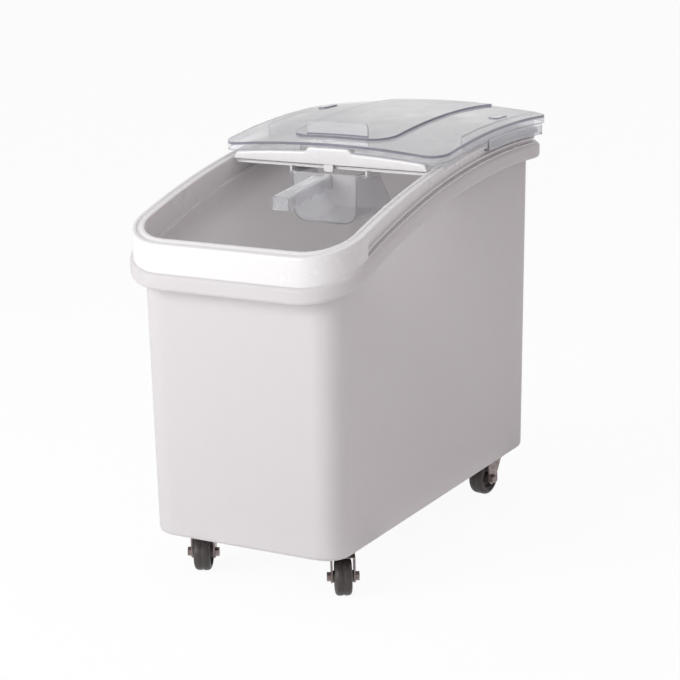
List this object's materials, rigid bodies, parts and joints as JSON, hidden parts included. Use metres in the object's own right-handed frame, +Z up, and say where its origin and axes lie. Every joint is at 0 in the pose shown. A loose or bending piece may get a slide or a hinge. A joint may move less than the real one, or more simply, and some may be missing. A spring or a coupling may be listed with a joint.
{
  "type": "ingredient bin",
  "caption": "Mobile ingredient bin with a slanted mouth, a clear lid sliding on curved rails, a clear scoop hung under the deck and swivel casters.",
  "frame": {"origin": "on the floor under the middle of the rim", "axes": "+Z up, -Y to the slanted front, +X to the right seen from the front"},
  "size_m": [0.395, 0.75, 0.6732],
  "materials": {
    "white_shell": "satin moulded",
    "white_frame": "gloss moulded",
    "clear_lid": "clear moulded",
    "clear_scoop": "clear moulded",
    "zinc_steel": "dull zinc",
    "grey_tread": "worn",
    "grey_core": "moulded"
  },
  "bodies": {
    "bin": {"bin_body": "white_shell", "top_frame": "white_frame", "plate_bolts": "zinc_steel", "mount_plate_front_left": "zinc_steel", "king_pin_front_left": "zinc_steel", "mount_plate_front_right": "zinc_steel", "king_pin_front_right": "zinc_steel", "mount_plate_rear_left": "zinc_steel", "king_pin_rear_left": "zinc_steel", "mount_plate_rear_right": "zinc_steel", "king_pin_rear_right": "zinc_steel"},
    "lid": {"sliding_lid": "clear_lid"},
    "scoop": {"scoop": "clear_scoop"},
    "swivel_front_left": {"fork_front_left": "zinc_steel", "axle_bolt_front_left": "zinc_steel", "axle_nut_front_left": "zinc_steel"},
    "wheel_front_left": {"tyre_front_left": "grey_tread", "wheel_core_front_left": "grey_core"},
    "swivel_front_right": {"fork_front_right": "zinc_steel", "axle_bolt_front_right": "zinc_steel", "axle_nut_front_right": "zinc_steel"},
    "wheel_front_right": {"tyre_front_right": "grey_tread", "wheel_core_front_right": "grey_core"},
    "swivel_rear_left": {"fork_rear_left": "zinc_steel", "axle_bolt_rear_left": "zinc_steel", "axle_nut_rear_left": "zinc_steel"},
    "wheel_rear_left": {"tyre_rear_left": "grey_tread", "wheel_core_rear_left": "grey_core"},
    "swivel_rear_right": {"fork_rear_right": "zinc_steel", "axle_bolt_rear_right": "zinc_steel", "axle_nut_rear_right": "zinc_steel"},
    "wheel_rear_right": {"tyre_rear_right": "grey_tread", "wheel_core_rear_right": "grey_core"}
  },
  "joints": [
    {"name": "lid_slide", "type": "hinge", "parent": "bin", "child": "lid", "pos_m": [0, 0.2, -1.088], "axis": [1, 0, 0], "range_deg": [0, 10.3]},
    {"name": "scoop_pull", "type": "slide", "parent": "bin", "child": "scoop", "axis": [0, -1, 0], "range_m": [0, 0.075]},
    {"name": "swivel_front_left", "type": "hinge", "parent": "bin", "child": "swivel_front_left", "pos_m": [-0.122, -0.252, 0.06], "axis": [0, 0, 1], "continuous": true},
    {"name": "roll_front_left", "type": "hinge", "parent": "swivel_front_left", "child": "wheel_front_left", "pos_m": [-0.11305, -0.2721, 0.029], "axis": [0.9135, 0.4067, 0], "continuous": true},
    {"name": "swivel_front_right", "type": "hinge", "parent": "bin", "child": "swivel_front_right", "pos_m": [0.122, -0.252, 0.06], "axis": [0, 0, 1], "continuous": true},
    {"name": "roll_front_right", "type": "hinge", "parent": "swivel_front_right", "child": "wheel_front_right", "pos_m": [0.13366, -0.27066, 0.029], "axis": [0.848, 0.5299, 0], "continuous": true},
    {"name": "swivel_rear_left", "type": "hinge", "parent": "bin", "child": "swivel_rear_left", "pos_m": [-0.122, 0.279, 0.06], "axis": [0, 0, 1], "continuous": true},
    {"name": "roll_rear_left", "type": "hinge", "parent": "swivel_rear_left", "child": "wheel_rear_left", "pos_m": [-0.11894, 0.25721, 0.029], "axis": [0.9903, 0.1392, 0], "continuous": true},
    {"name": "swivel_rear_right", "type": "hinge", "parent": "bin", "child": "swivel_rear_right", "pos_m": [0.122, 0.279, 0.06], "axis": [0, 0, 1], "continuous": true},
    {"name": "roll_rear_right", "type": "hinge", "parent": "swivel_rear_right", "child": "wheel_rear_right", "pos_m": [0.11894, 0.25721, 0.029], "axis": [0.9903, -0.1392, 0], "continuous": true}
  ]
}
